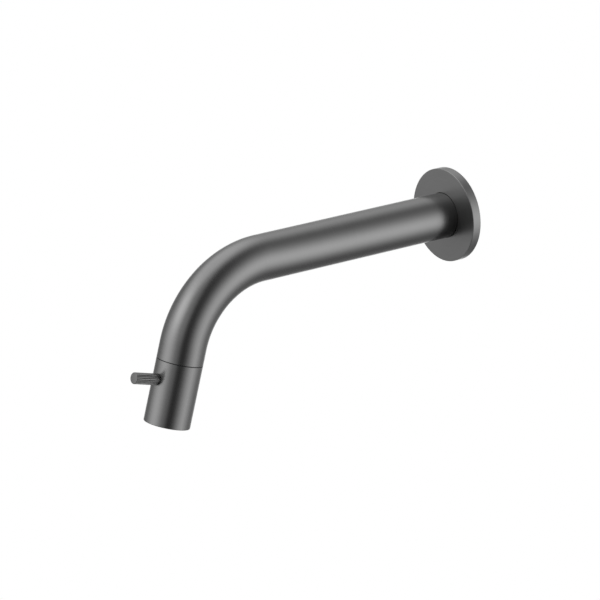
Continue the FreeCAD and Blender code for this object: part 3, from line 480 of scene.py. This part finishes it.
def bored(piece, *cutters):
    """Cuts holes in a piece with closed cutting surfaces, keeps the result as its mesh, with sharp
    rims, and removes the cutters."""
    for cutter in cutters:
        modifier = piece.modifiers.new("hole", "BOOLEAN")
        modifier.object = cutter
        modifier.solver = "EXACT"
    depsgraph = bpy.context.evaluated_depsgraph_get()
    plain = piece.data
    piece.data = bpy.data.meshes.new_from_object(piece.evaluated_get(depsgraph))
    piece.modifiers.clear()
    bpy.data.meshes.remove(plain)
    piece.data.set_sharp_from_angle(angle=RIM_ANGLE)
    for cutter in cutters:
        bpy.data.objects.remove(cutter)


def round_shading(piece, radius, tilt, along=0.0, up=0.0):
    """Even shading for a bored piece, whose faces are no longer whole. Where a face lies on the
    round of this radius, each of its corners is shaded straight out from the axis, along
    (x / r, y / r, 0) in the axis's own directions, so that no facet shows around a hole."""
    even_shading(piece)
    mesh = piece.data
    corners = len(mesh.loops)
    depsgraph = bpy.context.evaluated_depsgraph_get()
    shading = np.empty(3 * corners, np.float32)
    piece.evaluated_get(depsgraph).data.corner_normals.foreach_get("vector", shading)
    piece.modifiers.clear()
    places = np.empty(3 * len(mesh.vertices), np.float32)
    mesh.vertices.foreach_get("co", places)
    vertex = np.empty(corners, np.int32)
    mesh.loops.foreach_get("vertex_index", vertex)
    facing = np.empty(3 * len(mesh.polygons), np.float32)
    mesh.polygons.foreach_get("normal", facing)
    sides = np.empty(len(mesh.polygons), np.int32)
    mesh.polygons.foreach_get("loop_total", sides)
    facing = np.repeat(facing.reshape(-1, 3), sides, axis=0)
    about_axis = placed(places.reshape(-1, 3)[vertex] * METRE - (0, along, up), -tilt)
    about_axis[:, 2] = 0
    distance = np.linalg.norm(about_axis, axis=1)
    outwards = placed(about_axis / distance[:, None], tilt)
    looks_out = (facing * outwards).sum(axis=1) > ROUND_FACING
    on_round = looks_out & (np.abs(distance - radius) < ROUND_SLACK)
    shading = np.where(on_round[:, None], outwards, shading.reshape(-1, 3))
    mesh.normals_split_custom_set(shading)


screw_cutter = drill(
    "screw_cutter", [(SCREW_HOLE_RADIUS, SCREW_HOLE_START, CUTTER_END)], SCREW_HOLE_COLUMNS,
    girth=2 * math.pi * SCREW_HOLE_RADIUS, tilt=180, along=-SCREW_PLACE,
)
bored(arm, screw_cutter)
round_shading(arm, TUBE_RADIUS, WALL_TILT)
ground_gunmetal = satin_gunmetal("gunmetal_coated_satin_steel", "#7f7f7f", "#787878",
                                 roughness=0.25, line_size=(8, 0.3))
dress(arm, ground_gunmetal)
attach(arm, "spout")
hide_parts("spout_arm")


# Cartridge. A brass housing screwed into a bush in the arm's lower end, with a pair of lapped
# alumina discs, a turned rotor, its rubber rings, moulded acetal rings and a steel circlip. Acetal
# is black with a waxy gloss, and alumina ivory white, dense and even.
def axis_at(run, tilt):
    """The axis through the arm's path at a length run along it, as placed() takes it."""
    _, along, up = bent(np.array([0, 0, run]))
    return {"tilt": tilt, "along": along, "up": up}


OUTLET_TILT = WALL_TILT + BEND_DEGREES
outlet_axis = axis_at(seam_run, OUTLET_TILT)
brass_on_outlet = machined_metal("turned_brass_outlet", **BRASS, **outlet_axis)
steel_on_outlet = machined_metal("turned_stainless_outlet", **STAINLESS, **outlet_axis)
acetal = moulded("moulded_black_acetal", "#242425", "#18181a",
                 roughness=0.36, grain=0.4, relief=0.004, ior=1.48)
alumina = moulded("lapped_alumina", "#efeae0", "#e4dccd",
                  roughness=0.22, grain=0.2, relief=0.001, ior=1.76)
dress_nodes(brass_on_outlet, "outlet_bush", "cartridge_housing", "rotor")
dress_nodes(rubber, "housing_oring", "disc_seal", "rotor_oring_upper", "rotor_oring_lower", "hub_oring")
dress_nodes(acetal, "disc_retaining_ring", "rotor_thrust_washer")
dress_nodes(alumina, "fixed_ceramic_disc", "moving_ceramic_disc")
dress_nodes(steel_on_outlet, "rotor_circlip")


# Glide ring. A thin acetal washer in the seam between the arm and the sleeve: the dark line round
# the spout.
dress_nodes(acetal, "seam_glide_ring")


# Handle sleeve. Turned from steel bar to the arm's diameter and coated with it, so that the two
# read as one tube. It is bored for the rotor, the pin, the stop pin and the aerator.
HANDLE_LENGTH = 33.3
RECESS_RADIUS = 10.45
RECESS_END = 5.6
HUB_RADIUS = 5.85
HUB_END = 17.2
PASSAGE_RADIUS = 7.4
OUTLET_WALL = 2.87
AERATOR_DEPTH = 11.8
OUTLET_ROUND = 0.3
SLEEVE_EASE = 0.1
SLEEVE_COLUMNS = 240
aerator_bore = TUBE_RADIUS - OUTLET_WALL
aerator_seat = HANDLE_LENGTH - AERATOR_DEPTH
sleeve_corners = [
    (RECESS_RADIUS, SEAM_HALF), (TUBE_RADIUS, SEAM_HALF), (TUBE_RADIUS, HANDLE_LENGTH),
    (aerator_bore, HANDLE_LENGTH), (aerator_bore, aerator_seat), (PASSAGE_RADIUS, aerator_seat),
    (PASSAGE_RADIUS, HUB_END), (HUB_RADIUS, HUB_END), (HUB_RADIUS, RECESS_END),
    (RECESS_RADIUS, RECESS_END),
]
sleeve_cuts = np.full(len(sleeve_corners), SLEEVE_EASE)
sleeve_cuts[2] = OUTLET_ROUND
sleeve_outline = eased(sleeve_corners, sleeve_cuts, steps=7)
sleeve_points = placed(turned(*sleeve_outline.T, SLEEVE_COLUMNS), **outlet_axis)
sleeve = new_surface("handle_sleeve_shell", sleeve_points, 2 * math.pi * TUBE_RADIUS)

# The stepped seat of the lever pin in the sleeve's front, and the stop pin's hole in its hub. With
# 72 columns the seat's corners would meet the sleeve's own and leave faces with no area.
LEVER_DOWN = 10.2
LEVER_TILT = OUTLET_TILT - 90
LEVER_RADIUS = 3.0
LEVER_SEAT_DEPTH = 0.8
LEVER_SEAT_GAP = 0.05
SHANK_RADIUS = 2.0
TIGHT_GAP = 0.01
SEAT_START = 4
SEAT_COLUMNS = 70
STOP_RADIUS = 0.75
STOP_PITCH = 8.4
STOP_START = 5
STOP_DEPTH = 3
STOP_COLUMNS = 24
lever_foot = TUBE_RADIUS - LEVER_SEAT_DEPTH
lever_axis = axis_at(seam_run + LEVER_DOWN, LEVER_TILT)
seat_steps = [
    (SHANK_RADIUS + TIGHT_GAP, SEAT_START, lever_foot),
    (LEVER_RADIUS + LEVER_SEAT_GAP, lever_foot, CUTTER_END),
]
stop_steps = [(STOP_RADIUS + TIGHT_GAP, STOP_START, RECESS_END + STOP_DEPTH)]
seat_cutter = drill("seat_cutter", seat_steps, SEAT_COLUMNS, **lever_axis)
stop_cutter = drill("stop_cutter", stop_steps, STOP_COLUMNS, off_axis=STOP_PITCH, **outlet_axis)
bored(sleeve, seat_cutter, stop_cutter)
round_shading(sleeve, TUBE_RADIUS, **outlet_axis)
dress(sleeve, ground_gunmetal)
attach(sleeve, "handle")
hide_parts("handle_sleeve")


# Lever pin. Steel bar with twenty straight flutes milled along it, an eased end, and a shank that
# is screwed through the sleeve into the rotor. It is coated with the sleeve, and painted shade
# darkens the coating down the sides of the flutes, for the shade that falls in these grooves.
LEVER_LENGTH = 14.7
LEVER_CHAMFER = 0.2
LEVER_EASE = 0.08
SHANK_TIP = 4.2
SHANK_EASE = 0.2
FLUTES = 20
COLUMNS_PER_FLUTE = 24
FLUTE_RADIUS = 0.3
FLUTE_DEPTH = 0.25
FLUTE_SHADE_START = 0.12
END_FACE_START = 0.05
END_FACE_FULL = 0.01
END_FACE_SHARE = 0.8
END_FACE_RINGS = 0.25
TURNED_COAT = {"light": "#828282", "dark": "#7b7b7b"}
flute_centre = LEVER_RADIUS - FLUTE_DEPTH + FLUTE_RADIUS
lever_reach = TUBE_RADIUS + LEVER_LENGTH


def fluted_gunmetal():
    """Satin metal with lines along the pin, with painted shade that darkens it down the sides of the
    flutes. The end face is turned: its lines are rings, noise over the distance from the axis, drawn
    at 0.25 mm so that they show, and it keeps a share of that darker painted shade."""
    material = satin_gunmetal("gunmetal_coated_fluted_steel", **TURNED_COAT,
                              roughness=0.27, line_size=(0.3, 6))
    tree = material.node_tree
    coat = next(node for node in tree.nodes if node.type == "BSDF_PRINCIPLED")
    radius, height = axis_places(tree, add_node(tree, "ShaderNodeTexCoord"), **lever_axis)
    depth = add_node(tree, "ShaderNodeMapRange", {
        "From Min": (LEVER_RADIUS - FLUTE_SHADE_START) / METRE,
        "From Max": (LEVER_RADIUS - FLUTE_DEPTH) / METRE,
    }, {"Value": radius})
    end_face = add_node(tree, "ShaderNodeMapRange", {
        "From Min": (lever_reach - END_FACE_START) / METRE,
        "From Max": (lever_reach - END_FACE_FULL) / METRE,
        "To Max": END_FACE_SHARE,
    }, {"Value": height})
    rings = add_node(tree, "ShaderNodeTexNoise", {
        "noise_dimensions": "1D",
        "Scale": METRE / END_FACE_RINGS,
        "Detail": 2.0,
    }, {"W": radius})
    lines = next(node for node in tree.nodes if node.label == "lines").outputs["Result"]
    uses = [link.to_socket for link in lines.links]
    marks = add_node(tree, "ShaderNodeMix", {"data_type": "FLOAT"}, {
        FACTOR: end_face.outputs["Result"],
        FLOAT_A: lines,
        FLOAT_B: rings.outputs["Fac"],
    })
    for socket in uses:
        tree.links.new(marks.outputs[MIXED_FLOAT], socket)
    # Painted shade in the flutes: the tint goes to the dark grey below down their sides, and the end face
    # keeps only a share of it.
    painted_flute_shade = add_node(tree, "ShaderNodeMath", {"operation": "SUBTRACT", "use_clamp": True}, {
        0: depth.outputs["Result"],
        1: end_face.outputs["Result"],
    })
    shaded = add_node(tree, "ShaderNodeMix", {"data_type": "RGBA", COLOUR_B: linear_colour("#383838")}, {
        FACTOR: painted_flute_shade.outputs["Value"],
        COLOUR_A: coat.inputs["Base Color"].links[0].from_socket,
    })
    tree.links.new(shaded.outputs[MIXED_COLOUR], coat.inputs["Base Color"])
    return material


lever_corners = [
    (0, SHANK_TIP), (SHANK_RADIUS, SHANK_TIP), (SHANK_RADIUS, lever_foot), (LEVER_RADIUS, lever_foot),
    (LEVER_RADIUS, lever_reach - LEVER_CHAMFER), (LEVER_RADIUS - LEVER_CHAMFER, lever_reach),
    (0, lever_reach),
]
lever_cuts = [0, SHANK_EASE, 0, LEVER_EASE, LEVER_EASE, LEVER_EASE, 0]
lever_outline = eased(lever_corners, lever_cuts)
lever_columns = FLUTES * COLUMNS_PER_FLUTE
lever_angle = np.linspace(0, 2 * math.pi, lever_columns, endpoint=False)
# Each flute is a round cutter of radius f, centred at c from the axis: at the angle b from its
# middle the metal ends at c cos b - sqrt(f^2 - c^2 sin^2 b).
flute_angle = (lever_angle + math.pi / FLUTES) % (2 * math.pi / FLUTES) - math.pi / FLUTES
flute_square = np.maximum(FLUTE_RADIUS ** 2 - (flute_centre * np.sin(flute_angle)) ** 2, 0)
flute_floor = flute_centre * np.cos(flute_angle) - np.sqrt(flute_square)
flute_floor = np.where(flute_square > 0, flute_floor, LEVER_RADIUS)
lever_radius = np.minimum(lever_outline[:, :1], flute_floor)
lever_points = placed(turned(lever_radius, lever_outline[:, 1], lever_columns), **lever_axis)
lever = new_surface("fluted_lever_pin", lever_points, 2 * math.pi * LEVER_RADIUS, closed=False)
even_shading(lever)
dress(lever, fluted_gunmetal())
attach(lever, "handle")
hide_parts("lever_pin")


# Stop pin. A hardened steel dowel pressed into the face of the sleeve's hub. Its free end runs in
# a curved groove of the cartridge's housing and ends the turn at both sides.
dress_nodes(steel_on_outlet, "stop_pin")


# Aerator. A brass cage with four key slots, turned and coated a dark grey with fine rings, holds a
# moulded core, a steel screen and the moulded outlet grid, on a rubber washer.
cage_metal = machined_metal("gunmetal_coated_turned_brass", **TURNED_COAT, roughness=0.28, **outlet_axis)
dress_nodes(cage_metal, "aerator_housing")
dress_nodes(rubber, "aerator_washer")
dress_nodes(steel_on_outlet, "aerator_screen")
dress_nodes(acetal, "aerator_core", "aerator_outlet_grid")


# Wall rosette. A steel disc, turned, ground and coated with the arm. Its lines run round it, so
# that light fans out over the face. A rubber ring in its hub holds it where it is pushed, and a
# flat gasket seals it against the wall.
ROSETTE_RADIUS = 25.15
ROSETTE_THICKNESS = 5.0
ROSETTE_BORE_GAP = 0.15
FRONT_CHAMFER = 0.15
BACK_CHAMFER = 0.1
ROSETTE_HUB = 15.65
HUB_SETBACK = 0.6
WEB_THICKNESS = 2.0
RIM_INSIDE = 21.0
GASKET_SEAT = 23.5
GASKET_THICKNESS = 1.0
GRIP_FLOOR = 13.93
GRIP_LIP = 1.2
GRIP_WIDTH = 2.4
ROSETTE_EASE = 0.1
ROSETTE_COLUMNS = 288
# The lines that run round the face have their true length at this radius.
GRAIN_RADIUS = 18
rosette_bore = TUBE_RADIUS + ROSETTE_BORE_GAP
web_back = ROSETTE_THICKNESS - WEB_THICKNESS
grip_front = ROSETTE_THICKNESS - GRIP_LIP
rosette_corners = [
    (rosette_bore, HUB_SETBACK), (ROSETTE_HUB, HUB_SETBACK), (ROSETTE_HUB, web_back),
    (RIM_INSIDE, web_back), (RIM_INSIDE, GASKET_THICKNESS), (GASKET_SEAT, GASKET_THICKNESS),
    (GASKET_SEAT, 0), (ROSETTE_RADIUS - BACK_CHAMFER, 0), (ROSETTE_RADIUS, BACK_CHAMFER),
    (ROSETTE_RADIUS, ROSETTE_THICKNESS - FRONT_CHAMFER),
    (ROSETTE_RADIUS - FRONT_CHAMFER, ROSETTE_THICKNESS), (rosette_bore, ROSETTE_THICKNESS),
    *groove(rosette_bore, GRIP_FLOOR, grip_front, grip_front - GRIP_WIDTH),
]
# The back's chamfer is narrow, so its two corners get half the easing of the others.
rosette_cuts = np.full(len(rosette_corners), ROSETTE_EASE)
rosette_cuts[7:9] = ROSETTE_EASE / 2
rosette_outline = eased(rosette_corners, rosette_cuts)
rosette_points = placed(turned(*rosette_outline.T, ROSETTE_COLUMNS), WALL_TILT)
rosette = new_surface("wall_rosette_plate", rosette_points, 2 * math.pi * GRAIN_RADIUS)
even_shading(rosette)
rosette_coat = satin_gunmetal("gunmetal_coated_turned_steel", **TURNED_COAT,
                              roughness=0.3, line_size=(12, 0.4), metallic=0.9)
dress(rosette, rosette_coat)
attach(rosette, "rosette")
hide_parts("wall_rosette")
dress_nodes(rubber, "rosette_grip_ring", "wall_gasket")


# Floor. A pale studio floor, painted matt, well below the tap. It fades out before its edge,
# between two distances from the tap.
FLOOR_DEPTH = -1600
FLOOR_RADIUS = 3000
FLOOR_RINGS = 16
FLOOR_COLUMNS = 64
FADE_START = 1630
FADE_END = 1850
floor_points = turned(np.linspace(0, FLOOR_RADIUS, FLOOR_RINGS), np.full(FLOOR_RINGS, FLOOR_DEPTH),
                      FLOOR_COLUMNS)
floor = new_surface("floor", floor_points, closed=False)
floor_paint, floor_tree = blank_material("pale_floor_paint")
floor_place = add_node(floor_tree, "ShaderNodeTexCoord")
floor_distance = add_node(floor_tree, "ShaderNodeVectorMath", {"operation": "LENGTH"},
                          {0: floor_place.outputs["Object"]})
floor_fade = add_node(floor_tree, "ShaderNodeMapRange", {
    "interpolation_type": "SMOOTHSTEP",
    "From Min": FADE_START / METRE,
    "From Max": FADE_END / METRE,
}, {"Value": floor_distance.outputs["Value"]})
floor_body = add_node(floor_tree, "ShaderNodeBsdfPrincipled", {
    "Base Color": linear_colour("#e8e8e6"),
    "Roughness": 0.8,
})
floor_clear = add_node(floor_tree, "ShaderNodeBsdfTransparent")
floor_mix = add_node(floor_tree, "ShaderNodeMixShader", links={
    0: floor_fade.outputs["Result"],
    1: floor_body.outputs["BSDF"],
    2: floor_clear.outputs["BSDF"],
})
add_node(floor_tree, "ShaderNodeOutputMaterial", links={"Surface": floor_mix.outputs["Shader"]})
dress(floor, floor_paint)


# Studio. Soft lamps in a dark room, drawn on the world: each is an oval of light whose edge fades
# over its softness. Azimuth 0 is in front of the wall and 90 to its right.
SOFT_LAMPS = [
    # in front, a little to the left
    {"azimuth": -19, "elevation": 10, "width": 0.56, "height": 0.47, "softness": 0.99, "level": 1.6},
    # high at the left
    {"azimuth": -70, "elevation": 63, "width": 0.72, "height": 0.51, "softness": 0.57, "level": 1.3},
    # at the right, behind the wall's face
    {"azimuth": 124, "elevation": -3, "width": 0.46, "height": 0.48, "softness": 0.99, "level": 1.4},
    # wide and dim, behind
    {"azimuth": -166, "elevation": 11, "width": 2.20, "height": 0.96, "softness": 0.99, "level": 0.5},
    # a strip below
    {"azimuth": 39, "elevation": -82, "width": 0.94, "height": 0.10, "softness": 0.62, "level": 0.55},
    # an upright strip at the front right
    {"azimuth": 36, "elevation": 33, "width": 0.18, "height": 0.50, "softness": 0.68, "level": 0.35},
    # a small one above the first
    {"azimuth": -12, "elevation": 35, "width": 0.37, "height": 0.26, "softness": 0.56, "level": 0.55},
]
ROOM_LEVEL = 0.05
BACKDROP = {"azimuth": -127.4, "elevation": -18.6, "width": 0.36, "height": 0.36, "softness": 0.15,
            "level": 1.0}
WHITE = (1, 1, 1, 1)
world = bpy.data.worlds.new("studio")
bpy.context.scene.world = world
world.use_nodes = True
studio = world.node_tree
studio.nodes.clear()
direction = add_node(studio, "ShaderNodeTexCoord")


def lamp_glow(lamp):
    """The light of one lamp in the direction that is looked in: its level times a smooth step on
    the distance from its middle, in its own widths and heights, which falls from 1 to 0 between
    1 - softness and 1 + softness."""
    azimuth, elevation = math.radians(lamp["azimuth"]), math.radians(lamp["elevation"])
    middle = (
        math.sin(azimuth) * math.cos(elevation),
        -math.cos(azimuth) * math.cos(elevation),
        math.sin(elevation),
    )
    oval = add_node(studio, "ShaderNodeMapping", {
        "vector_type": "TEXTURE",
        "Location": middle,
        "Rotation": (-elevation, 0, azimuth),
        "Scale": (lamp["width"], 1, lamp["height"]),
    }, {"Vector": direction.outputs["Generated"]})
    distance = add_node(studio, "ShaderNodeVectorMath", {"operation": "LENGTH"},
                        {0: oval.outputs["Vector"]})
    glow = add_node(studio, "ShaderNodeMapRange", {
        "interpolation_type": "SMOOTHSTEP",
        "From Min": 1 + lamp["softness"],
        "From Max": 1 - lamp["softness"],
        "To Max": lamp["level"],
    }, {"Value": distance.outputs["Value"]})
    return glow.outputs["Result"]


glows = [lamp_glow(lamp) for lamp in SOFT_LAMPS]
light = add_node(studio, "ShaderNodeMath", {"operation": "ADD", 1: ROOM_LEVEL}, {0: glows[0]})
for glow in glows[1:]:
    light = add_node(studio, "ShaderNodeMath", {"operation": "ADD"}, {0: light.outputs["Value"], 1: glow})
room = add_node(studio, "ShaderNodeBackground", {"Color": WHITE}, {"Strength": light.outputs["Value"]})
# The white backdrop: the camera sees it everywhere, and metal sees it where it hangs, behind the
# tap.
rays = add_node(studio, "ShaderNodeLightPath")
mirrored = add_node(studio, "ShaderNodeMath", {"operation": "ADD"}, {
    0: rays.outputs["Is Glossy Ray"],
    1: rays.outputs["Is Transmission Ray"],
})
mirrored_backdrop = add_node(studio, "ShaderNodeMath", {"operation": "MULTIPLY"}, {
    0: mirrored.outputs["Value"],
    1: lamp_glow(BACKDROP),
})
seen = add_node(studio, "ShaderNodeMath", {"operation": "ADD", "use_clamp": True}, {
    0: rays.outputs["Is Camera Ray"],
    1: mirrored_backdrop.outputs["Value"],
})
backdrop = add_node(studio, "ShaderNodeBackground", {"Color": WHITE, "Strength": 1.0})
surroundings = add_node(studio, "ShaderNodeMixShader", links={
    0: seen.outputs["Value"],
    1: room.outputs["Background"],
    2: backdrop.outputs["Background"],
})
add_node(studio, "ShaderNodeOutputWorld", links={"Surface": surroundings.outputs["Shader"]})


# Camera. A long lens from the right, a little above the tap, set so that the outlines fall where
# the photograph has them. Its place is in metres, its sensor and lens in millimetres.
CAMERA_AZIMUTH = math.radians(52.5985)
CAMERA_ELEVATION = math.radians(18.6131)
CAMERA_PLACE = (1.346381, -1.130568, 0.542645)
SENSOR_WIDTH = 36
LENS = 206.3314
camera_data = bpy.data.cameras.new("camera")
camera_data.sensor_width = SENSOR_WIDTH
camera_data.lens = LENS
camera = bpy.data.objects.new("camera", camera_data)
camera.matrix_world = (
    Matrix.Translation(CAMERA_PLACE)
    @ Matrix.Rotation(CAMERA_AZIMUTH, 4, "Z")
    @ Matrix.Rotation(math.radians(90) - CAMERA_ELEVATION, 4, "X")
)
bpy.context.scene.collection.objects.link(camera)
bpy.context.scene.camera = camera
bpy.context.scene.view_settings.view_transform = "Standard"
